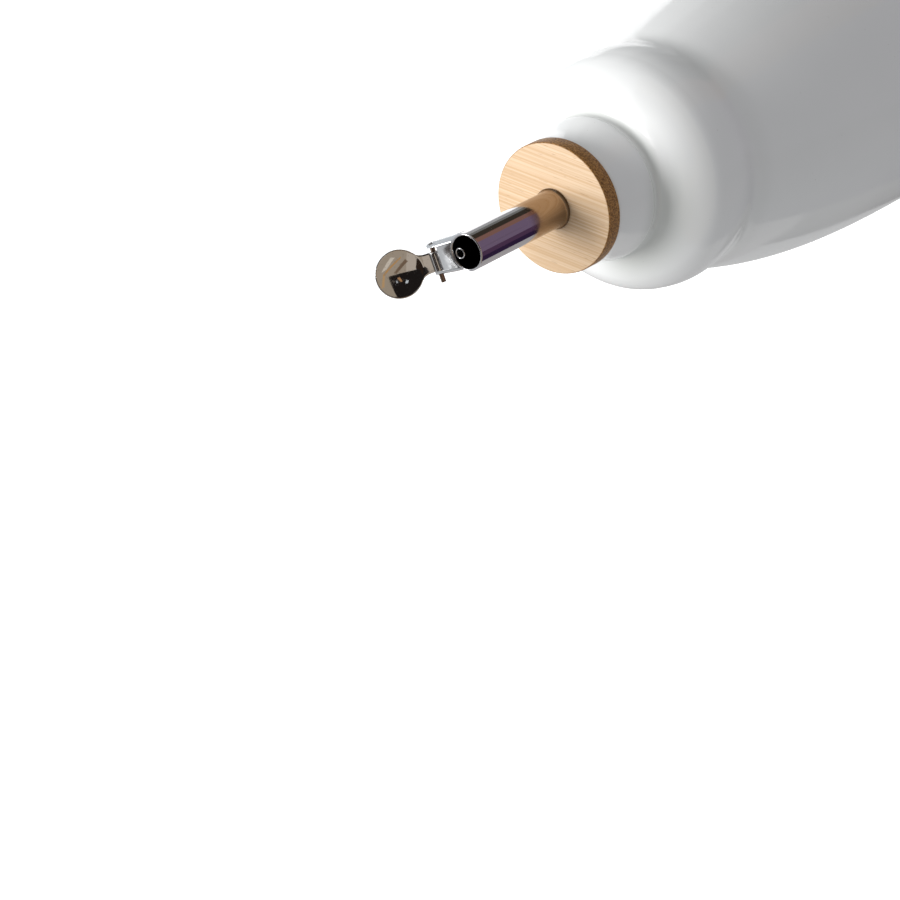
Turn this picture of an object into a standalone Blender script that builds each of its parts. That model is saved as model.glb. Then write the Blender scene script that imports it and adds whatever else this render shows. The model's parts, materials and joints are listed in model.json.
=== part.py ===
"""Oil dispenser bottle: a glazed ceramic bottle with a bamboo stopper disc and a steel spout whose flap is open.

Metres, +Z up. The origin is the middle of the base. The hinge is on the +Y side of the spout, its pin runs
along X, and oil leaves over the -Y side of the mouth.
"""

import math

import bmesh
import bpy
from mathutils import Matrix

# Heights above the table
DISC_TOP = 0.1700
DISC_THICK = 0.0046
SEAT_GAP = 0.0003
RIM_TOP = DISC_TOP - DISC_THICK - SEAT_GAP

# Bottle radii, and how far each form lies below the top of the disc
BODY_R = 0.0388
SHOULDER_R = 0.0303
GROOVE_R = 0.0294
RING_R = 0.0308
LIP_R = 0.0170
NECK_R = 0.0159
CREASE_R = 0.0164
LIP_DROP = 0.0152
CREASE_DROP = 0.0176
RING_DROP = 0.0350
GROOVE_DROP = 0.0443
SHOULDER_DROP = 0.0464
BODY_DROP = 0.1250
SHOULDER_SPREAD = 0.30
RIM_ROUND = 0.0009
LIP_ROUND = 0.0009
BASE_ROUND = 0.0070

# Bamboo disc
DISC_R = 0.0165
DISC_EDGE = 0.0003

# Spout tube and the breather tube inside it
TUBE_R = 0.00468
TUBE_BORE_R = 0.00410
TUBE_HEIGHT = 0.0350
FOOT_R = 0.00515
FOOT_HEIGHT = 0.0015
FIT_GAP = 0.0001
BREATHER_R = 0.0014
BREATHER_BORE_R = 0.0010
BREATHER_Y = 0.00250
BREATHER_DROP = 0.0007

# Hinge bracket: a web level with the mouth, and two ears that spread apart below it and hold the pin
MOUTH = DISC_TOP + TUBE_HEIGHT
SHEET = 0.0006
WEB_END = 0.0083
EAR_TOP_X = 0.00355
EAR_SPREAD = 0.25
EAR_DEEP = 0.0048
EAR_ARM_DEEP = 0.0028
EAR_ARM_START = 0.0085
EAR_END_R = 0.00125
PIN_Y = 0.0104
PIN_Z = MOUTH - 0.0010
PIN_R = 0.0006
PIN_HOLE_R = 0.00068
PIN_HIGH_X = 0.0034
PIN_LOW_X = -0.0058
PIN_CHAMFER = 0.00015

# Flap: a dished round lid on a short neck rolled round the pin, resting against the ear on the -X side
OPEN_DEG = 130.0
FLAP_X = -0.0006
FLAP_R = 0.0059
FLAP_REACH = 0.0092
FLAP_THICK = 0.0005
FLAP_DISH = 0.0009
FLAP_LIFT = 0.00025
BARREL_R = 0.00130
BARREL_HALF = 0.0023
NECK_HALF = 0.0021
NECK_LENGTH = 0.0046

ROUND_STEPS = 72
TUBE_STEPS = 48
SMALL_STEPS = 24


def clear_scene():
    for obj in list(bpy.data.objects):
        bpy.data.objects.remove(obj, do_unlink=True)


def material(name, colour, roughness, metallic=0.0):
    made = bpy.data.materials.new(name)
    made.use_nodes = True
    shader = made.node_tree.nodes["Principled BSDF"]
    shader.inputs["Base Color"].default_value = (*colour, 1.0)
    shader.inputs["Roughness"].default_value = roughness
    shader.inputs["Metallic"].default_value = metallic
    made.diffuse_color = (*colour, 1.0)
    return made


def add_object(name, mesh, finish=None):
    obj = bpy.data.objects.new(name, mesh)
    bpy.context.scene.collection.objects.link(obj)
    if finish:
        mesh.materials.append(finish)
    return obj


def settle(obj, sharp_deg=35.0):
    """Turns the object's modifiers into its mesh, shaded smooth up to the given angle."""
    graph = bpy.context.evaluated_depsgraph_get()
    mesh = bpy.data.meshes.new_from_object(obj.evaluated_get(graph))
    obj.modifiers.clear()
    obj.data = mesh
    mesh.shade_smooth()
    mesh.set_sharp_from_angle(angle=math.radians(sharp_deg))
    return obj


def arc(centre, radius, start_deg, end_deg, steps):
    """Points round a circle in the (radius, height) plane; 0 degrees points outward and 90 up."""
    points = []
    for i in range(steps + 1):
        angle = math.radians(start_deg + (end_deg - start_deg) * i / steps)
        points.append((centre[0] + radius * math.cos(angle), centre[1] + radius * math.sin(angle)))
    return points


def glide(start, start_slope, end, end_slope, steps):
    """A smooth curve down from start to end. A slope is how far the radius grows per unit of drop."""
    drop = start[1] - end[1]
    points = []
    for i in range(steps + 1):
        t = i / steps
        radius = (
            (1 + 2 * t) * (1 - t) ** 2 * start[0]
            + t * (1 - t) ** 2 * drop * start_slope
            + t * t * (3 - 2 * t) * end[0]
            - t * t * (1 - t) * drop * end_slope
        )
        points.append((radius, start[1] - drop * t))
    return points


def joined(*runs):
    """One outline from several runs of points, without the points that two runs share."""
    outline = []
    for run in runs:
        for point in run:
            if not outline or math.dist(point, outline[-1]) > 2e-5:
                outline.append(point)
    return outline


def turned(name, outline, finish, steps, closed=False):
    """A turned piece: the outline runs down its outer side and is spun round Z."""
    mesh = bpy.data.meshes.new(name)
    count = len(outline)
    edges = [(i, i + 1) for i in range(count - 1)]
    if closed:
        edges.append((count - 1, 0))
    mesh.from_pydata([(r, 0.0, z) for r, z in outline], edges, [])
    obj = add_object(name, mesh, finish)
    screw = obj.modifiers.new("Turn", "SCREW")
    screw.axis = "Z"
    screw.steps = steps
    screw.render_steps = steps
    screw.use_merge_vertices = True
    screw.merge_threshold = 0.00001
    return settle(obj)


def bottle_outline():
    """The bottle's outline, from the middle of its top down to the middle of its base."""
    rim = arc((NECK_R - RIM_ROUND, RIM_TOP - RIM_ROUND), RIM_ROUND, 90, 0, 3)
    lip_top = (LIP_R, DISC_TOP - LIP_DROP + LIP_ROUND)
    neck = glide((NECK_R, RIM_TOP - RIM_ROUND), 0.0, lip_top, 0.12, 5)
    lip = arc((LIP_R - LIP_ROUND, lip_top[1]), LIP_ROUND, 0, -75, 3)
    dome = []
    for i in range(13):
        angle = math.radians(90 * i / 12)
        radius = CREASE_R + (RING_R - CREASE_R) * math.sin(angle)
        drop = RING_DROP - (RING_DROP - CREASE_DROP) * math.cos(angle)
        dome.append((radius, DISC_TOP - drop))
    groove = (GROOVE_R, DISC_TOP - GROOVE_DROP)
    shoulder = (SHOULDER_R, DISC_TOP - SHOULDER_DROP)
    body = (BODY_R, DISC_TOP - BODY_DROP)
    into_groove = glide(dome[-1], 0.0, groove, -0.12, 5)
    out_of_groove = glide(groove, 0.1, shoulder, 0.75, 4)
    side = glide(shoulder, SHOULDER_SPREAD, body, 0.0, 11)
    foot = arc((BODY_R - BASE_ROUND, BASE_ROUND), BASE_ROUND, 0, -90, 6)
    return joined([(0.0, RIM_TOP)], rim, neck, lip, dome, into_groove, out_of_groove, side, foot, [(0.0, 0.0)])


def make_bottle(finish):
    return turned("bottle", bottle_outline(), finish, ROUND_STEPS)


def make_disc(finish):
    """The bamboo disc, with the hole that the spout stands in."""
    low = DISC_TOP - DISC_THICK
    hole = TUBE_R + FIT_GAP
    outline = [
        (hole, DISC_TOP),
        (DISC_R - DISC_EDGE, DISC_TOP),
        (DISC_R, DISC_TOP - DISC_EDGE),
        (DISC_R, low + DISC_EDGE),
        (DISC_R - DISC_EDGE, low),
        (hole, low),
    ]
    return turned("stopper_disc", outline, finish, ROUND_STEPS, closed=True)


def make_tube(finish):
    """The spout tube: a round lip at the mouth and a small rolled foot on the disc."""
    lip_r = (TUBE_R - TUBE_BORE_R) / 2
    mouth = arc((TUBE_R - lip_r, MOUTH - lip_r), lip_r, 180, 0, 6)
    foot_low = DISC_TOP + FIT_GAP
    edge = (FOOT_R - TUBE_R) / 2
    flare = glide((TUBE_R, DISC_TOP + FOOT_HEIGHT), 0.0, (FOOT_R - edge / 2, foot_low + 2 * edge), 0.6, 4)
    roll = arc((FOOT_R - edge, foot_low + edge), edge, 45, -90, 4)
    bottom = DISC_TOP - DISC_THICK
    inside = [(TUBE_R, foot_low), (TUBE_R, bottom), (TUBE_BORE_R, bottom)]
    outline = joined(mouth, flare, roll, inside)
    return turned("spout_tube", outline, finish, TUBE_STEPS, closed=True)


def make_breather(finish):
    """The thin air tube that runs up inside the spout, against its hinge side."""
    top = MOUTH - BREATHER_DROP
    bottom = DISC_TOP - DISC_THICK
    outline = [(BREATHER_R, top), (BREATHER_R, bottom), (BREATHER_BORE_R, bottom), (BREATHER_BORE_R, top)]
    tube = turned("breather_tube", outline, finish, SMALL_STEPS, closed=True)
    tube.location.y = BREATHER_Y
    return tube


def cylinder_x(name, radius, half_length, y, z, steps=SMALL_STEPS):
    """A solid cylinder along X, centred at the given height and distance from the spout's axis."""
    shape = bmesh.new()
    bmesh.ops.create_cone(
        shape, cap_ends=True, segments=steps, radius1=radius, radius2=radius, depth=2 * half_length
    )
    bmesh.ops.rotate(shape, verts=shape.verts, matrix=Matrix.Rotation(math.pi / 2, 3, "Y"))
    bmesh.ops.translate(shape, verts=shape.verts, vec=(0.0, y, z))
    mesh = bpy.data.meshes.new(name)
    shape.to_mesh(mesh)
    shape.free()
    return add_object(name, mesh)


def prism(name, outline, axis, low, high):
    """A solid whose outline is extruded along X, with (y, z) points, or along Y, with (x, z) points."""
    shape = bmesh.new()
    if axis == "X":
        corners = [(low, y, z) for y, z in outline]
        reach = (high - low, 0.0, 0.0)
    else:
        corners = [(x, low, z) for x, z in outline]
        reach = (0.0, high - low, 0.0)
    face = shape.faces.new([shape.verts.new(corner) for corner in corners])
    pulled = bmesh.ops.extrude_face_region(shape, geom=[face])
    moved = [item for item in pulled["geom"] if isinstance(item, bmesh.types.BMVert)]
    bmesh.ops.translate(shape, verts=moved, vec=reach)
    bmesh.ops.recalc_face_normals(shape, faces=shape.faces)
    mesh = bpy.data.meshes.new(name)
    shape.to_mesh(mesh)
    shape.free()
    return add_object(name, mesh)


def combine(obj, other, operation):
    """Adds or cuts the other shape and then removes it."""
    modifier = obj.modifiers.new(operation.title(), "BOOLEAN")
    modifier.operation = operation
    modifier.object = other
    settle(obj)
    bpy.data.objects.remove(other, do_unlink=True)
    return obj


def ear_x(depth):
    """How far an ear's outer face is from the middle, at a depth below the mouth."""
    return EAR_TOP_X + EAR_SPREAD * depth


def ear_outline():
    """The ears seen from the side: a round end about the pin, a narrow arm, and a deep root on the tube."""
    start = math.degrees(math.asin((MOUTH - PIN_Z) / EAR_END_R))
    end = [(PIN_Y + dy, PIN_Z + dz) for dy, dz in arc((0.0, 0.0), EAR_END_R, start, -125, 12)]
    arm = []
    for i in range(9):
        t = i / 8
        depth = EAR_ARM_DEEP - 0.0002 * (1 - t) ** 2 + (EAR_DEEP - EAR_ARM_DEEP) * t ** 3
        arm.append((EAR_ARM_START * (1 - t), MOUTH - depth))
    return [(0.0, MOUTH), *end, *arm]


def make_bracket(finish):
    """The hinge bracket: a bent sheet, cut to the outline of its ears and fitted round the tube."""
    far = 0.02
    low = MOUTH - far
    under = MOUTH - SHEET
    channel = [(-ear_x(far), low), (-ear_x(0), MOUTH), (ear_x(0), MOUTH), (ear_x(far), low)]
    room = [(-ear_x(far) + SHEET, low), (-ear_x(SHEET) + SHEET, under)]
    room += [(-x, z) for x, z in reversed(room)]
    slot = [(-ear_x(far) + SHEET, low), (-ear_x(-0.001) + SHEET, MOUTH + 0.001)]
    slot += [(-x, z) for x, z in reversed(slot)]
    bracket = prism("hinge_bracket", ear_outline(), "X", -far, far)
    combine(bracket, prism("channel", channel, "Y", -far, far), "INTERSECT")
    combine(bracket, prism("room", room, "Y", -far, far), "DIFFERENCE")
    combine(bracket, prism("slot", slot, "Y", WEB_END, far), "DIFFERENCE")
    shape = bmesh.new()
    inside = TUBE_R + FIT_GAP
    bmesh.ops.create_cone(
        shape, cap_ends=True, segments=TUBE_STEPS, radius1=inside, radius2=inside, depth=2 * far
    )
    bmesh.ops.translate(shape, verts=shape.verts, vec=(0.0, 0.0, MOUTH))
    mesh = bpy.data.meshes.new("tube_room")
    shape.to_mesh(mesh)
    shape.free()
    combine(bracket, add_object("tube_room", mesh), "DIFFERENCE")
    combine(bracket, cylinder_x("pin_hole", PIN_HOLE_R, far, PIN_Y, PIN_Z), "DIFFERENCE")
    bracket.data.materials.clear()
    bracket.data.materials.append(finish)
    return bracket


def make_pin(finish):
    """The hinge pin: a plain rod that has slid down, so one end is inside its hole and the other sticks out."""
    high = (PIN_HIGH_X - PIN_LOW_X) / 2
    outline = [
        (0.0, high),
        (PIN_R - PIN_CHAMFER, high),
        (PIN_R, high - PIN_CHAMFER),
        (PIN_R, PIN_CHAMFER - high),
        (PIN_R - PIN_CHAMFER, -high),
        (0.0, -high),
    ]
    pin = turned("hinge_pin", outline, finish, SMALL_STEPS)
    pin.data.transform(Matrix.Rotation(math.pi / 2, 4, "Y"))
    pin.location = ((PIN_HIGH_X + PIN_LOW_X) / 2, PIN_Y, PIN_Z)
    return pin


def lid_height(radius):
    """Height of the lid's inner face above the mouth, at a distance from the lid's middle."""
    return FLAP_LIFT + FLAP_DISH * (1 - (radius / FLAP_R) ** 2)


def make_flap(finish):
    """The flap as it lies when shut, with its origin on the pin, and then swung open."""
    steps = 6
    top = [(FLAP_R * i / steps, lid_height(FLAP_R * i / steps) + FLAP_THICK) for i in range(steps)]
    edge = arc((FLAP_R - FLAP_THICK / 2, FLAP_LIFT + FLAP_THICK / 2), FLAP_THICK / 2, 60, -90, 4)
    under = [(FLAP_R * i / steps, lid_height(FLAP_R * i / steps)) for i in range(steps - 1, -1, -1)]
    lid = turned("lid", joined(top, edge, under), finish, TUBE_STEPS)
    lid.data.transform(Matrix.Translation((0.0, -FLAP_REACH, MOUTH - PIN_Z)))

    flap = cylinder_x("flap", BARREL_R, BARREL_HALF, 0.0, 0.0)
    low = MOUTH - PIN_Z + FLAP_LIFT - 0.0001
    neck = bmesh.new()
    outline = []
    for i in range(9):
        t = i / 8
        half = NECK_HALF + 0.0002 * (1 - t) ** 3 + 0.0012 * t ** 4
        outline.append((half, -NECK_LENGTH * t))
    ring = outline + [(-x, y) for x, y in reversed(outline)]
    face = neck.faces.new([neck.verts.new((x, y, low)) for x, y in ring])
    pulled = bmesh.ops.extrude_face_region(neck, geom=[face])
    moved = [item for item in pulled["geom"] if isinstance(item, bmesh.types.BMVert)]
    bmesh.ops.translate(neck, verts=moved, vec=(0.0, 0.0, FLAP_THICK))
    bmesh.ops.recalc_face_normals(neck, faces=neck.faces)
    mesh = bpy.data.meshes.new("neck")
    neck.to_mesh(mesh)
    neck.free()
    combine(flap, add_object("neck", mesh), "UNION")
    combine(flap, lid, "UNION")
    combine(flap, cylinder_x("pin_room", PIN_HOLE_R, 2 * BARREL_HALF, 0.0, 0.0), "DIFFERENCE")
    flap.data.materials.clear()
    flap.data.materials.append(finish)
    flap.location = (FLAP_X, PIN_Y, PIN_Z)
    flap.rotation_euler.x = -math.radians(OPEN_DEG)
    return flap


def main():
    clear_scene()
    glaze = material("white_glaze", (0.86, 0.86, 0.85), 0.12)
    bamboo = material("bamboo", (0.80, 0.56, 0.33), 0.5)
    steel = material("polished_steel", (0.62, 0.61, 0.60), 0.12, 1.0)
    make_bottle(glaze)
    make_disc(bamboo)
    make_tube(steel)
    make_breather(steel)
    make_bracket(steel)
    make_pin(steel)
    make_flap(steel)


main()
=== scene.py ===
# %% [markdown]
# # An oil dispenser bottle
#
# A white glazed bottle is closed by a round bamboo stopper. A polished steel spout stands in the stopper, and
# a small spoon-shaped flap hangs open on a hinge at its mouth. This lesson dresses the plain solids of that
# bottle: each visible piece is modelled again with finer edges, as by hand, and gets its own finish.
#
# We start with the solids, because every finer piece takes its place and its overall size from them.
# Measuring them keeps the two models together. Only smaller forms, such as the bottle's lip and the
# bracket's ears, are given here as numbers, and a few of them follow the photo more closely than the solids.

# %% Load the solids
import json
import math

import bpy
from mathutils import Matrix, Vector


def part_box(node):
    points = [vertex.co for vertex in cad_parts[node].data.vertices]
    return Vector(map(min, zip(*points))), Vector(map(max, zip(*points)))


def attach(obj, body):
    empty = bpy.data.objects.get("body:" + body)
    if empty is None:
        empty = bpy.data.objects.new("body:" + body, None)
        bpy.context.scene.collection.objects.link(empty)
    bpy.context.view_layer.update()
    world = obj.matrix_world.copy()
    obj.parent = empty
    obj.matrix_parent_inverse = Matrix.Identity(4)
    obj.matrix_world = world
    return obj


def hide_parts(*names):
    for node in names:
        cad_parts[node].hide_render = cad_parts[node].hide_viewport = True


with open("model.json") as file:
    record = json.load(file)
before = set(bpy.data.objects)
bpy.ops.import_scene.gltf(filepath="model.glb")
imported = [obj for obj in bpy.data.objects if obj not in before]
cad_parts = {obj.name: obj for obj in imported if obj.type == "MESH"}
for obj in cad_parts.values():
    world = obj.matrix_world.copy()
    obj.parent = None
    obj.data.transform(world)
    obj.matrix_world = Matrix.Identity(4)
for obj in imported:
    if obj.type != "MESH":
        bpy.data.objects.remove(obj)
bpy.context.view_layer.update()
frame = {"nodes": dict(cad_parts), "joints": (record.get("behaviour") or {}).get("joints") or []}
print("solids:", sorted(frame["nodes"]))

# %% Measure them
disc_low, disc_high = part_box("stopper_disc")
tube_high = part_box("spout_tube")[1]
bottle_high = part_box("bottle")[1]
DISC_TOP = disc_high.z
DISC_LOW = disc_low.z
DISC_R = disc_high.y
RIM_TOP = bottle_high.z
BODY_R = bottle_high.y
MOUTH = tube_high.z
FOOT_R = tube_high.y
hinge = frame["joints"][0]["pos_m"]
PIN_Y = hinge[1]
PIN_Z = hinge[2]
print(f"disc {2000 * DISC_R:.1f} mm across, top at {1000 * DISC_TOP:.1f} mm; mouth at {1000 * MOUTH:.1f} mm")

# %% [markdown]
# ## Turning by hand
#
# The bottle, the disc and the tubes are all round, so one way of working makes them all. A circle is added,
# then extruded and scaled to the next radius and height, again and again, until the outline is complete.
# A lathe operator would be quicker, but the rings keep the mesh in clean bands that bevel and shade well.

# %% Rings from an outline
MERGE_NEAR = 2e-6


def start_afresh():
    bpy.ops.object.select_all(action="DESELECT")


def finish_piece(piece, name, smooth_deg):
    """Closes the edit: merges doubles, turns faces outwards, smooths, and leaves the place in the mesh."""
    bpy.ops.object.mode_set(mode="EDIT")
    bpy.ops.mesh.select_all(action="SELECT")
    bpy.ops.mesh.remove_doubles(threshold=MERGE_NEAR)
    bpy.ops.mesh.normals_make_consistent(inside=False)
    bpy.ops.object.mode_set(mode="OBJECT")
    bpy.ops.object.transform_apply(location=True, rotation=True, scale=True)
    bpy.ops.object.shade_smooth_by_angle(angle=math.radians(smooth_deg))
    piece.name = name
    piece.data.name = name
    print(f"{name}: {len(piece.data.polygons)} faces")
    return piece


def turn(name, outline, sides, hollow=False, smooth_deg=30):
    """Rings through (radius, height) points. A hollow outline comes back to its first point."""
    start_afresh()
    radius, height = outline[0]
    fill = "NOTHING" if hollow else "NGON"
    bpy.ops.mesh.primitive_circle_add(vertices=sides, radius=radius, fill_type=fill, location=(0, 0, height))
    piece = bpy.context.object
    bpy.ops.object.mode_set(mode="EDIT")
    bpy.ops.mesh.select_all(action="SELECT")
    for new_radius, new_height in outline[1:]:
        bpy.ops.mesh.extrude_region_move(TRANSFORM_OT_translate={"value": (0, 0, new_height - height)})
        grow = new_radius / radius
        bpy.ops.transform.resize(value=(grow, grow, 1), center_override=(0, 0, new_height))
        radius, height = new_radius, new_height
    bpy.ops.object.mode_set(mode="OBJECT")
    return finish_piece(piece, name, smooth_deg)


# %% Curves for the outlines
def arc(centre, radius, start_deg, end_deg, steps):
    """Points on a circle in the (radius, height) plane: 0 degrees points outward and 90 up."""
    points = []
    for i in range(steps + 1):
        angle = math.radians(start_deg + (end_deg - start_deg) * i / steps)
        points.append((centre[0] + radius * math.cos(angle), centre[1] + radius * math.sin(angle)))
    return points


def glide(start, start_slope, end, end_slope, steps):
    """A smooth run down from start to end. A slope is how far the radius grows for each unit of drop."""
    drop = start[1] - end[1]
    points = []
    for i in range(steps + 1):
        t = i / steps
        radius = (
            (1 + 2 * t) * (1 - t) ** 2 * start[0]
            + t * (1 - t) ** 2 * drop * start_slope
            + t * t * (3 - 2 * t) * end[0]
            - t * t * (1 - t) * drop * end_slope
        )
        points.append((radius, start[1] - drop * t))
    return points


def joined(*runs):
    """One outline from several runs, without the points that two runs share."""
    outline = []
    for run in runs:
        for point in run:
            if not outline or math.dist(point, outline[-1]) > 2e-5:
                outline.append(point)
    return outline


# %% [markdown]
# ## The bottle
#
# The real bottle is slip-cast and glazed, so no edge on it is truly sharp: the neck ends in a soft lip, a
# dome runs down to a rounded ring, and below a shallow groove the shoulder swells into the body. The outline
# has the same forms as the solid, in finer steps and with a fuller, lower lip. A running mean along it then
# softens the lip, the crease and the groove, as a layer of glaze does, and 160 sides keep the reflections
# free of facets.

# %% Bottle
NECK_R = 0.0159
LIP = (0.0183, DISC_TOP - 0.0172)
LIP_ROUND = 0.0012
CREASE = (0.0181, DISC_TOP - 0.0190)
RING = (0.0308, DISC_TOP - 0.0350)
GROOVE = (0.0294, DISC_TOP - 0.0443)
SHOULDER = (0.0303, DISC_TOP - 0.0464)
BODY = (BODY_R, DISC_TOP - 0.1250)
BASE_ROUND = 0.0070

rim = arc((NECK_R - LIP_ROUND, RIM_TOP - LIP_ROUND), LIP_ROUND, 90, 0, 6)
lip_top = (LIP[0], LIP[1] + LIP_ROUND)
neck = glide(rim[-1], 0.0, lip_top, 0.32, 16)
lip = arc((LIP[0] - LIP_ROUND, lip_top[1]), LIP_ROUND, 0, -50, 8)
dome = []
for i in range(29):
    angle = math.radians(90 * i / 28)
    radius = CREASE[0] + (RING[0] - CREASE[0]) * math.sin(angle)
    dome.append((radius, RING[1] + (CREASE[1] - RING[1]) * math.cos(angle)))
into_groove = glide(RING, 0.0, GROOVE, -0.12, 12)
out_of_groove = glide(GROOVE, 0.1, SHOULDER, 0.75, 8)
side = glide(SHOULDER, 0.30, BODY, 0.0, 30)
foot = arc((BODY_R - BASE_ROUND, BASE_ROUND), BASE_ROUND, 0, -90, 12)


def softened(run, reach, step=0.0005):
    """The same run, sampled evenly, with each point moved to the mean of those within reach along it."""
    even = []
    for a, b in zip(run, run[1:]):
        pieces = max(1, round(math.dist(a, b) / step))
        for i in range(pieces):
            even.append((a[0] + (b[0] - a[0]) * i / pieces, a[1] + (b[1] - a[1]) * i / pieces))
    even.append(run[-1])
    wide = round(reach / step)
    soft = []
    for i in range(len(even)):
        half = min(wide, i, len(even) - 1 - i)
        near = even[i - half : i + half + 1]
        soft.append((sum(p[0] for p in near) / len(near), sum(p[1] for p in near) / len(near)))
    return soft


upper = softened(joined(neck, lip, dome[:20]), 0.0012)
lower = softened(joined(dome[19:], into_groove, out_of_groove, side[:8]), 0.0042)
outline = joined(rim, upper, lower, side[7:], foot)
bottle = turn("glazed_bottle", outline, 160, smooth_deg=60)
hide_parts("bottle")
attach(bottle, "root")

# %% [markdown]
# ## The bamboo stopper
#
# The stopper's disc is cut from pressed bamboo and sanded, so its edges are only just broken. It is a ring
# round the spout, turned as a hollow outline that comes back to where it began.

# %% Stopper disc
HOLE_R = 0.00478
EDGE = 0.00035
face_edge = arc((DISC_R - EDGE, DISC_TOP - EDGE), EDGE, 90, 0, 4)
low_edge = arc((DISC_R - EDGE, DISC_LOW + EDGE), EDGE, 0, -90, 4)
outline = joined([(HOLE_R, DISC_TOP)], face_edge, low_edge, [(HOLE_R, DISC_LOW), (HOLE_R, DISC_TOP)])
stopper = turn("bamboo_stopper", outline, 128, hollow=True)
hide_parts("stopper_disc")
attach(stopper, "root")

# %% [markdown]
# ## The spout and its air tube
#
# The spout is a drawn tube of thin steel. Its mouth is rounded over, and at the bottom it flares into a
# small rolled foot that sits on the bamboo. Inside it, against the hinge side, stands a much thinner tube
# that lets air back into the bottle. Thin walls matter here: the bright line round the mouth is the edge of
# the sheet.

# %% Spout tube
TUBE_R = 0.00468
BORE_R = 0.00410
LIP_R = (TUBE_R - BORE_R) / 2
FOOT_LOW = DISC_TOP + 0.0001
ROLL = (FOOT_R - TUBE_R) / 2
mouth = arc((TUBE_R - LIP_R, MOUTH - LIP_R), LIP_R, 180, 0, 12)
flare = glide((TUBE_R, DISC_TOP + 0.0015), 0.0, (FOOT_R - ROLL / 2, FOOT_LOW + 2 * ROLL), 0.6, 8)
roll = arc((FOOT_R - ROLL, FOOT_LOW + ROLL), ROLL, 45, -90, 8)
inside = [(TUBE_R, FOOT_LOW), (TUBE_R, DISC_LOW), (BORE_R, DISC_LOW)]
outline = joined(mouth, flare, roll, inside)
spout = turn("steel_spout", outline + [outline[0]], 128, hollow=True, smooth_deg=50)
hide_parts("spout_tube")
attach(spout, "root")

# %% Air tube
AIR_R = 0.0014
AIR_BORE_R = 0.0010
AIR_Y = (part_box("breather_tube")[0].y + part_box("breather_tube")[1].y) / 2
AIR_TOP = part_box("breather_tube")[1].z
AIR_LIP_R = 0.0002
air_lip = arc((0.0012, AIR_TOP - AIR_LIP_R), AIR_LIP_R, 180, 0, 6)
outline = joined(air_lip, [(AIR_R, DISC_LOW), (AIR_BORE_R, DISC_LOW)])
air_tube = turn("air_tube", outline + [outline[0]], 48, hollow=True, smooth_deg=50)
bpy.ops.object.mode_set(mode="EDIT")
bpy.ops.mesh.select_all(action="SELECT")
bpy.ops.transform.translate(value=(0, AIR_Y, 0))
bpy.ops.object.mode_set(mode="OBJECT")
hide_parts("breather_tube")
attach(air_tube, "root")

# %% [markdown]
# ## The hinge bracket
#
# The bracket is one strip of steel, bent down on both sides of the tube into two ears that spread a little.
# We bend it as a tinsmith would: a flat web first, then its long edges folded over in small steps, then
# thickness from Solidify. The outline of the ears, the room for the tube and the pin holes are cut
# afterwards with Booleans, as a press tool cuts them. A Boolean may list its points in another order each
# time, so the mesh is put back in one fixed order after every cut.

# %% Cutting helpers
def cutter(points, axis, low, high):
    """A prism to cut with. Its corners are (y, z) pairs along X, or (x, z) pairs along Y."""
    start_afresh()
    bpy.ops.mesh.primitive_circle_add(vertices=len(points), radius=1, fill_type="NGON")
    block = bpy.context.object
    for vertex, (a, z) in zip(block.data.vertices, points):
        vertex.co = (low, a, z) if axis == "X" else (a, low, z)
    block.data.update()
    bpy.ops.object.mode_set(mode="EDIT")
    bpy.ops.mesh.select_all(action="SELECT")
    reach = (high - low, 0, 0) if axis == "X" else (0, high - low, 0)
    bpy.ops.mesh.extrude_region_move(TRANSFORM_OT_translate={"value": reach})
    bpy.ops.mesh.select_all(action="SELECT")
    bpy.ops.mesh.normals_make_consistent(inside=False)
    bpy.ops.object.mode_set(mode="OBJECT")
    return block


def rod(radius, length, place, along_x=False, *, sides):
    """A plain cylinder to cut with."""
    start_afresh()
    turn_y = math.pi / 2 if along_x else 0
    bpy.ops.mesh.primitive_cylinder_add(
        vertices=sides, radius=radius, depth=length, location=place, rotation=(0, turn_y, 0)
    )
    return bpy.context.object


SORT_FROM = (0.0317, 0.0171, 0.1853)
SORT_DIGITS = 7


def settle(piece):
    """Rounds every point and sorts the mesh by distance from a place off every plane of symmetry."""
    for vertex in piece.data.vertices:
        vertex.co = [round(part, SORT_DIGITS) for part in vertex.co]
    piece.data.update()
    bpy.context.scene.cursor.location = SORT_FROM
    bpy.ops.object.mode_set(mode="EDIT")
    bpy.ops.mesh.select_all(action="SELECT")
    bpy.ops.mesh.sort_elements(type="CURSOR_DISTANCE", elements={"VERT", "EDGE", "FACE"})
    bpy.ops.object.mode_set(mode="OBJECT")
    bpy.context.scene.cursor.location = (0, 0, 0)


def cut(piece, block, way="DIFFERENCE"):
    """Applies one Boolean and takes its cutter away."""
    start_afresh()
    piece.select_set(True)
    bpy.context.view_layer.objects.active = piece
    bpy.context.view_layer.update()
    step = piece.modifiers.new("Cut", "BOOLEAN")
    step.operation = way
    step.object = block
    step.solver = "EXACT"
    bpy.ops.object.modifier_apply(modifier=step.name)
    bpy.data.objects.remove(block, do_unlink=True)
    settle(piece)


# %% Bend the strip
SHEET = 0.0006
WEB_END = 0.0083
EAR_TOP_X = 0.00355
EAR_SPREAD = 0.25
BEND_R = 0.00078
EAR_REACH = 0.0065
fold_deg = 90 - math.degrees(math.atan(EAR_SPREAD))
flat_half = EAR_TOP_X - BEND_R * math.tan(math.radians(fold_deg / 2))

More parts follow.
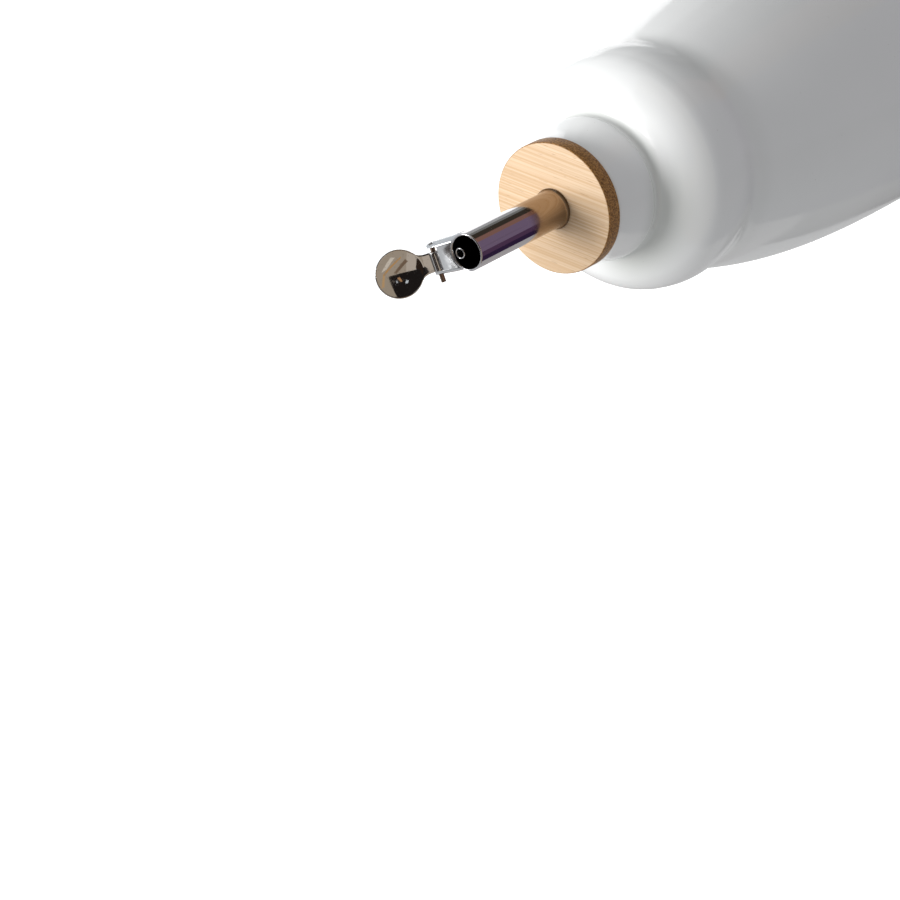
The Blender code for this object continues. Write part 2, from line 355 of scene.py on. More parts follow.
start_afresh()
bpy.ops.mesh.primitive_plane_add(size=1)
bracket = bpy.context.object
STRIP_START = -0.004
STRIP_END = 0.014
corners = [(x, y) for y in (STRIP_START, STRIP_END) for x in (-flat_half, flat_half)]
for vertex, (x, y) in zip(bracket.data.vertices, corners):
    vertex.co = (x, y, MOUTH)
bracket.data.update()
for side_sign in (-1, 1):
    bpy.ops.object.mode_set(mode="OBJECT")
    for edge in bracket.data.edges:
        edge.select = False
    for face in bracket.data.polygons:
        face.select = False
    for vertex in bracket.data.vertices:
        vertex.select = abs(vertex.co.x - side_sign * flat_half) < 1e-6
    bpy.ops.object.mode_set(mode="EDIT")
    bpy.ops.mesh.select_mode(type="VERT")
    steps = 8
    last = Vector((0.0, 0.0))
    for i in range(1, steps + 1):
        turned = math.radians(fold_deg * i / steps)
        here = Vector((BEND_R * math.sin(turned), BEND_R * (math.cos(turned) - 1)))
        move = (side_sign * (here.x - last.x), 0, here.y - last.y)
        bpy.ops.mesh.extrude_region_move(TRANSFORM_OT_translate={"value": move})
        last = here
    down = (side_sign * EAR_REACH * EAR_SPREAD, 0, -EAR_REACH)
    bpy.ops.mesh.extrude_region_move(TRANSFORM_OT_translate={"value": down})
    bpy.ops.object.mode_set(mode="OBJECT")
bpy.ops.object.mode_set(mode="EDIT")
bpy.ops.mesh.select_all(action="SELECT")
bpy.ops.mesh.normals_make_consistent(inside=False)
bpy.ops.object.mode_set(mode="OBJECT")
if bracket.data.polygons[0].normal.z < 0:
    bracket.data.flip_normals()
thicken = bracket.modifiers.new("Sheet", "SOLIDIFY")
thicken.thickness = SHEET
thicken.offset = -1.0
thicken.use_even_offset = True
bpy.ops.object.modifier_apply(modifier=thicken.name)
print("bent strip:", len(bracket.data.polygons), "faces")

# %% Press out the bracket
EAR_DEEP = 0.0048
ARM_DEEP = 0.0034
ARM_START = 0.0085
EAR_END_R = 0.00125
PIN_HOLE_R = 0.00068
ABOVE_WEB = 0.0002
CUT_WIDE = 0.02
start = math.degrees(math.asin((MOUTH - PIN_Z) / EAR_END_R))
ear_side = [(0.0, MOUTH + ABOVE_WEB), (PIN_Y, MOUTH + ABOVE_WEB)]
ear_side += arc((PIN_Y, PIN_Z), EAR_END_R, start, -125, 24)
for i in range(17):
    t = i / 16
    depth = ARM_DEEP - 0.0002 * (1 - t) ** 2 + (EAR_DEEP - ARM_DEEP) * t**3
    ear_side.append((ARM_START * (1 - t), MOUTH - depth))
cut(bracket, cutter(ear_side, "X", -CUT_WIDE, CUT_WIDE), "INTERSECT")
slot_top = EAR_TOP_X - SHEET
slot = [
    (-slot_top - EAR_SPREAD * 0.02, MOUTH - 0.02),
    (-slot_top + EAR_SPREAD * 0.001, MOUTH + 0.001),
    (slot_top - EAR_SPREAD * 0.001, MOUTH + 0.001),
    (slot_top + EAR_SPREAD * 0.02, MOUTH - 0.02),
]
cut(bracket, cutter(slot, "Y", WEB_END, CUT_WIDE))
cut(bracket, rod(HOLE_R, 2 * CUT_WIDE, (0, 0, MOUTH), sides=128))
cut(bracket, rod(PIN_HOLE_R, 2 * CUT_WIDE, (0, PIN_Y, PIN_Z), along_x=True, sides=48))
bpy.ops.object.mode_set(mode="EDIT")
bpy.ops.mesh.select_all(action="SELECT")
bpy.ops.mesh.remove_doubles(threshold=0.00003)
bpy.ops.mesh.dissolve_limited(angle_limit=math.radians(1.0))
bpy.ops.object.mode_set(mode="OBJECT")
settle(bracket)
print("pressed out:", len(bracket.data.polygons), "faces")
soften = bracket.modifiers.new("Deburr", "BEVEL")
soften.width = 0.00006
soften.segments = 2
soften.limit_method = "ANGLE"
soften.angle_limit = math.radians(50)
soften.harden_normals = False
bpy.ops.object.modifier_apply(modifier=soften.name)
finish_piece(bracket, "hinge_plate", 35)
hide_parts("hinge_bracket")
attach(bracket, "root")

# %% [markdown]
# ## The hinge pin
#
# A plain rod runs through both ears. It has slid down, so its upper end is inside its hole and the lower end
# sticks out, and that is how it is turned here: a little rod with rounded ends, laid on its side.

# %% Pin
PIN_R = 0.0006
pin_low, pin_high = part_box("hinge_pin")
half = (pin_high.x - pin_low.x) / 2
ROUND = 0.0002
upper = arc((PIN_R - ROUND, half - ROUND), ROUND, 85, 0, 5)
lower = arc((PIN_R - ROUND, ROUND - half), ROUND, 0, -85, 5)
pin = turn("hinge_rod", joined(upper, lower), 48, smooth_deg=50)
bpy.ops.object.mode_set(mode="EDIT")
bpy.ops.mesh.select_all(action="SELECT")
bpy.ops.transform.rotate(value=math.pi / 2, orient_axis="Y", center_override=(0, 0, 0))
bpy.ops.transform.translate(value=((pin_low.x + pin_high.x) / 2, PIN_Y, PIN_Z))
bpy.ops.object.mode_set(mode="OBJECT")
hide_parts("hinge_pin")
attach(pin, "root")

# %% [markdown]
# ## The flap
#
# The flap is pressed from one blank: a dished round lid, a narrow neck, and a tongue rolled round the pin.
# The lid is a circle inset into rings that are pushed up to form the dish. The neck grows out of a few of
# its rim edges and is then rolled round the pin in small steps. Solidify gives the sheet its thickness, and
# Subdivision turns the corners where neck and lid meet into the soft curves of the real one. It is made
# shut, where its forms are level, and swung open at the end.

# %% Dish
FLAP_X = hinge[0]
FLAP_R = 0.0059
FLAP_REACH = 0.0092
FLAP_THICK = 0.0005
FLAP_DISH = 0.0009
FLAP_LIFT = 0.00025
OPEN_DEG = 130.0
LID_SIDES = 48
LID_Y = PIN_Y - FLAP_REACH

start_afresh()
lid_level = MOUTH + FLAP_LIFT + FLAP_THICK / 2
bpy.ops.mesh.primitive_circle_add(
    vertices=LID_SIDES, radius=FLAP_R, fill_type="NGON", location=(FLAP_X, LID_Y, lid_level)
)
flap = bpy.context.object
bpy.ops.object.transform_apply(location=True, rotation=True, scale=True)
bpy.ops.object.mode_set(mode="EDIT")
bpy.ops.mesh.select_all(action="SELECT")
radius = FLAP_R
height = 0.0
for share in (0.93, 0.84, 0.72, 0.58, 0.42, 0.25, 0.08):
    new_radius = FLAP_R * share
    new_height = FLAP_DISH * (1 - share**2)
    bpy.ops.mesh.inset(thickness=radius - new_radius, depth=0)
    bpy.ops.transform.translate(value=(0, 0, new_height - height))
    radius, height = new_radius, new_height
bpy.ops.object.mode_set(mode="OBJECT")
print("dish:", len(flap.data.polygons), "faces,", round(1000 * height, 2), "mm deep")

# %% Neck and roll
BARREL_R = 0.00130
ROLL_R = BARREL_R - FLAP_THICK / 2
NECK_HALF = 0.00225
NECK_EXTRA = 0.0002
NECK_TURN = 6
reach_edge = FLAP_R * math.cos(math.radians(360 / LID_SIDES * (NECK_TURN - 1)))
for vertex in flap.data.vertices:
    sideways = abs(vertex.co.x - FLAP_X)
    far = math.hypot(sideways, vertex.co.y - LID_Y) > FLAP_R - 1e-5
    vertex.select = far and vertex.co.y > LID_Y + reach_edge - 1e-5
for edge in flap.data.edges:
    edge.select = all(flap.data.vertices[v].select for v in edge.vertices)
for face in flap.data.polygons:
    face.select = False
neck_edges = sum(edge.select for edge in flap.data.edges)
bpy.ops.object.mode_set(mode="EDIT")
bpy.ops.mesh.select_mode(type="EDGE")
print("neck grows from", neck_edges, "edges")


def neck_row(place, level, half_width, bulge=0.0):
    """Extrudes the neck's last row to a new place along the flap. A bulge keeps its middle further out."""
    bpy.ops.mesh.extrude_region_move(TRANSFORM_OT_translate={"value": (0, 0, 0)})
    bpy.ops.object.mode_set(mode="OBJECT")
    row = [v for v in flap.data.vertices if v.select]
    widest = max(abs(v.co.x - FLAP_X) for v in row)
    for v in row:
        across = (v.co.x - FLAP_X) / widest
        v.co.x = FLAP_X + across * half_width
        v.co.y = place + bulge * (1 - across**2)
        v.co.z = level
    bpy.ops.object.mode_set(mode="EDIT")


neck_level = PIN_Z + ROLL_R
fillet = [
    (0.0040, 0.00298, 0.00085, 0.04),
    (0.0034, 0.00268, 0.00055, 0.10),
    (0.0027, 0.00250, 0.00025, 0.22),
]
for away, half_width, bulge, share in fillet:
    neck_row(PIN_Y - away, lid_level + (neck_level - lid_level) * share, half_width, bulge)
for away, share in ((0.0020, 0.42), (0.0013, 0.75), (0.0006, 1.0)):
    neck_row(PIN_Y - away, lid_level + (neck_level - lid_level) * share, NECK_HALF + NECK_EXTRA)
for i in range(13):
    around = math.radians(90 - 25 * i)
    place = PIN_Y + ROLL_R * math.cos(around)
    neck_row(place, PIN_Z + ROLL_R * math.sin(around), NECK_HALF + NECK_EXTRA)
bpy.ops.object.mode_set(mode="OBJECT")

# %% Thickness and soft corners
bpy.ops.object.mode_set(mode="EDIT")
bpy.ops.mesh.select_all(action="SELECT")
bpy.ops.mesh.remove_doubles(threshold=MERGE_NEAR)
bpy.ops.mesh.normals_make_consistent(inside=False)
bpy.ops.object.mode_set(mode="OBJECT")
lid_face = max(flap.data.polygons, key=lambda face: face.center.z if face.center.y < LID_Y else 0)
if lid_face.normal.z < 0:
    flap.data.flip_normals()
settle(flap)
thicken = flap.modifiers.new("Sheet", "SOLIDIFY")
thicken.thickness = FLAP_THICK
thicken.offset = 0.0
bpy.ops.object.modifier_apply(modifier=thicken.name)
smooth = flap.modifiers.new("Soften", "SUBSURF")
smooth.levels = 2
smooth.render_levels = 2
bpy.ops.object.modifier_apply(modifier=smooth.name)
swing = Matrix.Rotation(-math.radians(OPEN_DEG), 4, "X")
pivot = Matrix.Translation((0, PIN_Y, PIN_Z))
flap.data.transform(pivot @ swing @ pivot.inverted())
settle(flap)
finish_piece(flap, "spoon_flap", 60)
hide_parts("flap")
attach(flap, "flap")

# %% [markdown]
# ## Building materials with nodes
#
# Two helpers keep the node code short: one adds a node and sets its inputs, the other adds a whole group.
# What is the same all over a surface is set on the shader itself, and only what changes over the surface is
# linked to it.

# %% Node helpers
def add(tree, kind, inputs=None, **settings):
    """Adds a node. Inputs may be values, or sockets to link from."""
    made = tree.nodes.new(kind)
    for key, value in settings.items():
        setattr(made, key, value)
    for key, value in (inputs or {}).items():
        if isinstance(value, bpy.types.NodeSocket):
            tree.links.new(value, made.inputs[key])
        else:
            made.inputs[key].default_value = value
    return made


def maths(tree, operation, a, b=0.0, c=0.0):
    """One Math node's result."""
    return add(tree, "ShaderNodeMath", {0: a, 1: b, 2: c}, operation=operation).outputs[0]


def ramp(tree, value, low, high, to_low=0.0, to_high=1.0):
    """A value that runs from to_low to to_high as its input runs from low to high."""
    inputs = {"Value": value, 1: low, 2: high, 3: to_low, 4: to_high}
    return add(tree, "ShaderNodeMapRange", inputs, interpolation_type="SMOOTHSTEP").outputs[0]


def blend(tree, share, a, b):
    """A colour between two others."""
    made = add(tree, "ShaderNodeMix", data_type="RGBA")
    for socket, value in ((made.inputs[0], share), (made.inputs[6], a), (made.inputs[7], b)):
        if isinstance(value, bpy.types.NodeSocket):
            tree.links.new(value, socket)
        else:
            socket.default_value = value
    return made.outputs[2]


def new_finish(name):
    """A material with its node tree and its Principled shader."""
    made = bpy.data.materials.new(name)
    made.use_nodes = True
    return made, made.node_tree, made.node_tree.nodes["Principled BSDF"]


def dress(piece, finish):
    piece.data.materials.clear()
    piece.data.materials.append(finish)


# %% [markdown]
# ## Two effects shared by several finishes
#
# Handling leaves the same kind of trace on glaze and on steel: faint smears that change only how sharp the
# reflections are. Fine scratches run over all the steel. Each is a group with named inputs, so that every
# finish can turn it up or down.

# %% Smears
def make_group(name, inputs, outputs):
    group = bpy.data.node_groups.new(name, "ShaderNodeTree")
    for label, kind, value in inputs:
        socket = group.interface.new_socket(label, in_out="INPUT", socket_type=kind)
        socket.default_value = value
    for label, kind in outputs:
        group.interface.new_socket(label, in_out="OUTPUT", socket_type=kind)
    entry = group.nodes.new("NodeGroupInput")
    leave = group.nodes.new("NodeGroupOutput")
    return group, entry, leave


NUMBER = "NodeSocketFloat"
smear_inputs = [("Scale", NUMBER, 60.0), ("Clean", NUMBER, 0.1), ("Smeared", NUMBER, 0.2)]
smears, entry, leave = make_group("handling_smears", smear_inputs, [("Roughness", NUMBER)])
place = add(smears, "ShaderNodeTexCoord").outputs["Object"]
cloud = add(smears, "ShaderNodeTexNoise", {"Vector": place, "Scale": entry.outputs["Scale"], "Detail": 4.0})
share = ramp(smears, cloud.outputs["Fac"], 0.42, 0.68)
span = maths(smears, "SUBTRACT", entry.outputs["Smeared"], entry.outputs["Clean"])
rough = maths(smears, "MULTIPLY_ADD", share, span, entry.outputs["Clean"])
smears.links.new(rough, leave.inputs["Roughness"])

# %% Scratches
scratch_inputs = [("Scale", NUMBER, 900.0), ("Stretch", NUMBER, 0.04)]
scratch_outputs = [("Height", NUMBER), ("Mask", NUMBER)]
scratches, entry, leave = make_group("fine_scratches", scratch_inputs, scratch_outputs)
place = add(scratches, "ShaderNodeTexCoord").outputs["Object"]
squeezed = {"X": 1.0, "Y": 1.0, "Z": entry.outputs["Stretch"]}
squeeze = add(scratches, "ShaderNodeCombineXYZ", squeezed).outputs[0]
drawn = add(scratches, "ShaderNodeVectorMath", {0: place, 1: squeeze}, operation="MULTIPLY").outputs[0]
lines = add(
    scratches, "ShaderNodeTexNoise", {"Vector": drawn, "Scale": entry.outputs["Scale"], "Detail": 3.0}
).outputs["Fac"]
scratches.links.new(lines, leave.inputs["Height"])
scratches.links.new(ramp(scratches, lines, 0.58, 0.72), leave.inputs["Mask"])
print("shared effects:", smears.name, scratches.name)

# %% [markdown]
# ## White glaze
#
# Glaze is glassy and slightly uneven. Painted shade, a little greener and greyer, darkens the crease under
# the lip and the groove, and a painted shadow of the disc falls from the crease on one side of the dome. The
# body colour is not pure white, since a pure white would lose all its shading. Very low, wide waves in the
# bump make the reflections swim as they do on porcelain.

# %% Glaze
glaze, tree, shader = new_finish("glaze_white")
place = add(tree, "ShaderNodeTexCoord").outputs["Object"]
xyz = add(tree, "ShaderNodeSeparateXYZ", {0: place})
high = xyz.outputs["Z"]
flat = add(tree, "ShaderNodeCombineXYZ", {"X": xyz.outputs["X"], "Y": xyz.outputs["Y"]}).outputs[0]
from_axis = add(tree, "ShaderNodeVectorMath", {0: flat}, operation="LENGTH").outputs["Value"]
down = maths(tree, "SUBTRACT", high, CREASE[1])
out = maths(tree, "SUBTRACT", from_axis, CREASE[0])
squares = maths(tree, "ADD", maths(tree, "POWER", down, 2.0), maths(tree, "POWER", out, 2.0))
near_crease = maths(tree, "SQRT", squares)
# Painted shade in the crease under the lip, in a greener, greyer glaze colour.
painted_crease_shade = ramp(tree, near_crease, 0.0002, 0.0030, 0.8, 0.0)
# Painted shade in the groove below the ring.
near_groove = maths(tree, "ABSOLUTE", maths(tree, "SUBTRACT", high, GROOVE[1] + 0.0005))
painted_groove_shade = ramp(tree, near_groove, 0.0015, 0.0070, 0.18, 0.0)
# Painted shadow of the disc and neck on one side of the dome, fading away from the crease.
shadow_way = Vector((-0.80, -0.60, 0.0))
facing = add(tree, "ShaderNodeVectorMath", {0: flat, 1: shadow_way}, operation="DOT_PRODUCT").outputs["Value"]
shadow_side = ramp(tree, maths(tree, "DIVIDE", facing, from_axis), 0.35, 0.92)
past_lip = ramp(tree, from_axis, 0.0172, 0.0188)
shadow_fade = ramp(tree, near_crease, 0.0020, 0.0125, 0.85, 0.0)
painted_disc_shadow = maths(tree, "MULTIPLY", maths(tree, "MULTIPLY", shadow_side, past_lip), shadow_fade)
# All the painted shade of the glaze together, drawn in a greener, greyer glaze colour.
painted_shade = maths(tree, "MAXIMUM", maths(tree, "MAXIMUM", painted_crease_shade, painted_groove_shade), painted_disc_shadow)
cloud = add(tree, "ShaderNodeTexNoise", {"Vector": place, "Scale": 24.0, "Detail": 3.0}).outputs["Fac"]
body_colour = blend(tree, cloud, (0.80, 0.81, 0.80, 1), (0.86, 0.86, 0.85, 1))
shaded_glaze = blend(tree, maths(tree, "MULTIPLY", painted_shade, 0.75), body_colour, (0.60, 0.62, 0.585, 1))
fleck = add(tree, "ShaderNodeTexVoronoi", {"Vector": place, "Scale": 260.0}).outputs["Distance"]
fleck_share = ramp(tree, fleck, 0.030, 0.055, 0.35, 0.0)
colour = blend(tree, fleck_share, shaded_glaze, (0.55, 0.53, 0.49, 1))
tree.links.new(colour, shader.inputs["Base Color"])
smear = add(tree, "ShaderNodeGroup", node_tree=smears)
smear.inputs["Scale"].default_value = 45.0
smear.inputs["Clean"].default_value = 0.10
smear.inputs["Smeared"].default_value = 0.17
tree.links.new(smear.outputs["Roughness"], shader.inputs["Roughness"])
wave = add(tree, "ShaderNodeTexNoise", {"Vector": place, "Scale": 70.0, "Detail": 1.0}).outputs["Fac"]
peel = add(tree, "ShaderNodeTexNoise", {"Vector": place, "Scale": 420.0, "Detail": 2.0}).outputs["Fac"]
relief = maths(tree, "MULTIPLY_ADD", peel, 0.12, wave)
bump = add(tree, "ShaderNodeBump", {"Strength": 0.35, "Distance": 0.00025, "Height": relief})
tree.links.new(bump.outputs["Normal"], shader.inputs["Normal"])
shader.inputs["IOR"].default_value = 1.52
dress(bottle, glaze)

# %% [markdown]
# ## Bamboo
#
# Pressed bamboo shows strips side by side, each with its own tone, fine fibres running along them, and
# short dark dashes where the vessels were cut. All of it runs one way across the face. The pattern is made
# in the disc's own coordinates, turned so that the fibres lie as they do on the real one. The cut side is
# darker and shows the ends of the fibres as dots.

# %% Bamboo
FIBRE_DEG = 60.0
bamboo, tree, shader = new_finish("bamboo_pressed")
place = add(tree, "ShaderNodeTexCoord").outputs["Object"]
fibre_turn = (0, 0, -math.radians(FIBRE_DEG))
turned = add(tree, "ShaderNodeMapping", {"Vector": place, "Rotation": fibre_turn}).outputs[0]
along = add(tree, "ShaderNodeVectorMath", {0: turned, 1: (0.007, 1.0, 0.35)}, operation="MULTIPLY").outputs[0]
fibres = add(tree, "ShaderNodeTexNoise", {"Vector": along, "Scale": 5200.0, "Detail": 2.0}).outputs["Fac"]
broad = add(tree, "ShaderNodeTexNoise", {"Vector": along, "Scale": 1800.0, "Detail": 2.0}).outputs["Fac"]
strips = add(tree, "ShaderNodeTexNoise", {"Vector": along, "Scale": 300.0, "Detail": 1.0}).outputs["Fac"]
short = add(tree, "ShaderNodeVectorMath", {0: turned, 1: (0.10, 1.0, 0.35)}, operation="MULTIPLY").outputs[0]
dashes = add(tree, "ShaderNodeTexNoise", {"Vector": short, "Scale": 3400.0, "Detail": 1.0}).outputs["Fac"]
tone = maths(tree, "MULTIPLY_ADD", ramp(tree, broad, 0.36, 0.64), 0.6, maths(tree, "MULTIPLY", fibres, 0.4))
face_colour = blend(tree, tone, (0.545, 0.345, 0.180, 1), (0.72, 0.550, 0.380, 1))
strip_share = ramp(tree, strips, 0.42, 0.60, 0.0, 0.12)
face_colour = blend(tree, strip_share, face_colour, (0.50, 0.33, 0.18, 1))
dash_share = ramp(tree, dashes, 0.69, 0.77, 0.0, 0.4)
face_colour = blend(tree, dash_share, face_colour, (0.30, 0.16, 0.07, 1))
xyz = add(tree, "ShaderNodeSeparateXYZ", {0: place})
flat = add(tree, "ShaderNodeCombineXYZ", {"X": xyz.outputs["X"], "Y": xyz.outputs["Y"]}).outputs[0]
from_axis = add(tree, "ShaderNodeVectorMath", {0: flat}, operation="LENGTH").outputs["Value"]
on_side = ramp(tree, from_axis, DISC_R - 0.0003, DISC_R - 0.0001)
ends = add(tree, "ShaderNodeTexVoronoi", {"Vector": place, "Scale": 2600.0}).outputs["Distance"]
grain = add(tree, "ShaderNodeTexNoise", {"Vector": place, "Scale": 2200.0, "Detail": 3.0}).outputs["Fac"]
grain = ramp(tree, grain, 0.35, 0.65)
side_colour = blend(tree, grain, (0.17, 0.075, 0.016, 1), (0.43, 0.210, 0.060, 1))
side_colour = blend(tree, ramp(tree, ends, 0.1, 0.35, 0.55, 0.0), side_colour, (0.12, 0.06, 0.025, 1))
colour = blend(tree, on_side, face_colour, side_colour)
tree.links.new(colour, shader.inputs["Base Color"])
rough = maths(tree, "MULTIPLY_ADD", fibres, 0.2, 0.38)
tree.links.new(rough, shader.inputs["Roughness"])
bump = add(tree, "ShaderNodeBump", {"Strength": 0.4, "Distance": 0.00006, "Height": tone})
tree.links.new(bump.outputs["Normal"], shader.inputs["Normal"])
shader.inputs["Specular IOR Level"].default_value = 0.3
dress(stopper, bamboo)

# %% [markdown]
# ## Polished steel
#
# Polished steel takes nearly all its colour from what it mirrors, so its own colour is a plain light grey
# and the work goes into its roughness: very low where it is clean, higher in smears and scratches. The
# bores are another matter. A second finish paints shade into them a little below the mouth, and oil dulls
# them. At the tube's foot a thin layer of old oil tints what the steel mirrors and paints the darker, warmer
# reflection of the shaded bamboo, and a dark ring at the very foot is a painted contact shadow. The pin's
# dark brown tint is painted shade.

# %% Steel
def make_steel(name, tint, clean, smeared, scratch_scale, stretch):
    steel, tree, shader = new_finish(name)
    shader.inputs["Metallic"].default_value = 1.0
    smear = add(tree, "ShaderNodeGroup", node_tree=smears)
    smear.inputs["Scale"].default_value = 160.0
    smear.inputs["Clean"].default_value = clean
    smear.inputs["Smeared"].default_value = smeared
    scratch = add(tree, "ShaderNodeGroup", node_tree=scratches)
    scratch.inputs["Scale"].default_value = scratch_scale
    scratch.inputs["Stretch"].default_value = stretch
    rough = maths(tree, "MULTIPLY_ADD", scratch.outputs["Mask"], 0.10, smear.outputs["Roughness"])
    tree.links.new(rough, shader.inputs["Roughness"])
    dull = tuple(0.82 * part for part in tint[:3]) + (1,)
    colour = blend(tree, maths(tree, "MULTIPLY", scratch.outputs["Mask"], 0.6), tint, dull)
    tree.links.new(colour, shader.inputs["Base Color"])
    bump = add(
        tree, "ShaderNodeBump", {"Strength": 0.06, "Distance": 0.00002, "Height": scratch.outputs["Height"]}
    )
    tree.links.new(bump.outputs["Normal"], shader.inputs["Normal"])
    return steel, tree, shader, colour, rough


steel_flap = make_steel("steel_pressed", (0.62, 0.61, 0.60, 1), 0.04, 0.10, 1400.0, 0.5)[0]
steel_plate = make_steel("steel_sheet", (0.66, 0.67, 0.68, 1), 0.10, 0.18, 1200.0, 0.3)[0]
dress(flap, steel_flap)
dress(bracket, steel_plate)
# The pin's dark brown tint is painted shade.
dress(pin, make_steel("steel_pin_painted_shade", (0.22, 0.16, 0.12, 1), 0.12, 0.25, 1200.0, 0.3)[0])


# %% Steel with an oiled bore
def shaded_oil_bore(finish, radius, centre_y, depth):
    """Darkens a bore's inside with painted shade and dulls it with oil, from a little below its end."""
    steel, tree, shader, colour, rough = finish
    place = add(tree, "ShaderNodeTexCoord").outputs["Object"]
    xyz = add(tree, "ShaderNodeSeparateXYZ", {0: place})
    off_y = maths(tree, "SUBTRACT", xyz.outputs["Y"], centre_y)
    flat = add(tree, "ShaderNodeCombineXYZ", {"X": xyz.outputs["X"], "Y": off_y}).outputs[0]
    from_axis = add(tree, "ShaderNodeVectorMath", {0: flat}, operation="LENGTH").outputs["Value"]
    inside = ramp(tree, from_axis, radius + 0.00004, radius + 0.00012, 1.0, 0.0)
    below = ramp(tree, xyz.outputs["Z"], MOUTH - depth - 0.0003, MOUTH - depth, 1.0, 0.0)
    oiled_and_shaded = maths(tree, "MULTIPLY", inside, below)
    # The near-black colour is painted shade inside the bore.
    tree.links.new(blend(tree, oiled_and_shaded, colour, (0.012, 0.010, 0.012, 1)), shader.inputs["Base Color"])
    tree.links.new(maths(tree, "MULTIPLY_ADD", oiled_and_shaded, 0.25, rough), shader.inputs["Roughness"])
    return steel


def warm_film_and_contact_shadow(finish, height):
    """Old oil near the foot of a tube, tinting what it mirrors as a painted reflection of shaded bamboo, and
    a painted contact shadow at the very foot.
    """
    steel, tree, shader, colour, rough = finish
    place = add(tree, "ShaderNodeTexCoord").outputs["Object"]
    high = add(tree, "ShaderNodeSeparateXYZ", {0: place}).outputs["Z"]
    # Painted reflection: an oil tint that darkens and warms what the steel mirrors near the foot.
    film_and_reflection = ramp(tree, high, DISC_TOP + height * 0.9, DISC_TOP + height * 1.25, 0.85, 0.0)
    warm_reflection = blend(tree, film_and_reflection, colour, (0.33, 0.235, 0.140, 1))
    # Painted contact shadow: a dark ring where the foot meets the bamboo.
    edge = ramp(tree, high, DISC_TOP + 0.0005, DISC_TOP + 0.0012, 0.9, 0.0)
    rough = maths(tree, "MULTIPLY_ADD", film_and_reflection, 0.06, rough)
    return steel, tree, shader, blend(tree, edge, warm_reflection, (0.09, 0.055, 0.03, 1)), rough


tube_finish = make_steel("steel_drawn", (0.60, 0.59, 0.60, 1), 0.055, 0.11, 900.0, 0.03)
air_finish = make_steel("steel_air_tube", (0.60, 0.60, 0.61, 1), 0.06, 0.12, 1200.0, 0.05)
dress(spout, shaded_oil_bore(warm_film_and_contact_shadow(tube_finish, 0.0125), BORE_R, 0.0, 0.0004))
dress(air_tube, shaded_oil_bore(air_finish, AIR_BORE_R, AIR_Y, 0.0032))
print("finishes:", [finish.name for finish in bpy.data.materials if finish.users])

# %% [markdown]
# ## Floor
#
# The bottle stands on a flat, plain pale floor, six metres across, which fills the picture from above. It
# glows a little, to stay as pale as the photo's background. Only the camera and mirror-like reflections see
# it, so it throws no soft light up at the bottle.

# %% Floor
start_afresh()
bpy.ops.mesh.primitive_plane_add(size=6.0, location=(0, 0, 0))
floor = bpy.context.object
floor.name = "pale_floor"
bpy.ops.object.mode_set(mode="EDIT")
bpy.ops.mesh.subdivide(number_cuts=3)
bpy.ops.object.mode_set(mode="OBJECT")
paper, tree, shader = new_finish("paper_white")
place = add(tree, "ShaderNodeTexCoord").outputs["Object"]
tooth = add(tree, "ShaderNodeTexNoise", {"Vector": place, "Scale": 40.0, "Detail": 2.0}).outputs["Fac"]
tree.links.new(blend(tree, tooth, (0.90, 0.90, 0.90, 1), (0.92, 0.92, 0.92, 1)), shader.inputs["Base Color"])
shader.inputs["Roughness"].default_value = 0.9
shader.inputs["Specular IOR Level"].default_value = 0.1
shader.inputs["Emission Color"].default_value = (1, 1, 1, 1)
shader.inputs["Emission Strength"].default_value = 0.25
dress(floor, paper)
floor.visible_diffuse = False

# %% [markdown]
# ## Cards for the steel to mirror
#
# A mirror in an empty white room looks like white plastic. Photographers stand dark and coloured cards
# round polished metal so that it has something to show, and keep them out of the picture. These cards are
# seen by reflections alone, so they darken nothing else. Some lie low round the bottle, for the tube and the
# glaze. Others hang overhead, as seen from the mouth, for the flap and the bracket, and a few thin ones draw
# the flap's streaks.

# %% Cards
def card(name, colour, corners):
    """A flat card through four corners, which only mirror-like reflections can see."""
    start_afresh()
    bpy.ops.mesh.primitive_plane_add(size=1)
    made = bpy.context.object
    made.name = name
    order = (corners[0], corners[1], corners[3], corners[2])
    for vertex, corner in zip(made.data.vertices, order):
        vertex.co = corner
    finish, tree, shader = new_finish(name + "_paint")
    shader.inputs["Base Color"].default_value = (0, 0, 0, 1)
    shader.inputs["Roughness"].default_value = 1.0
    shader.inputs["Specular IOR Level"].default_value = 0.0
    shader.inputs["Emission Color"].default_value = (*colour, 1)
    shader.inputs["Emission Strength"].default_value = 1.0
    dress(made, finish)
    made.visible_camera = False
    made.visible_diffuse = False
    made.visible_shadow = False
    made.visible_transmission = False


CARD_DEG = 30
SKY_AWAY = 0.60


def ring_card(name, colour, start_deg, end_deg, near, far, height):
    """A card lying low round the bottle, between two directions. 0 is towards -Y and 90 towards +X."""
    def at(radius, degrees):
        angle = math.radians(degrees)
        return (radius * math.sin(angle), -radius * math.cos(angle), height)

    steps = max(1, round((end_deg - start_deg) / CARD_DEG))
    for i in range(steps):
        a = start_deg + (end_deg - start_deg) * i / steps
        b = start_deg + (end_deg - start_deg) * (i + 1) / steps
        card(f"{name}_{i}", colour, [at(near, a), at(far, a), at(far, b), at(near, b)])


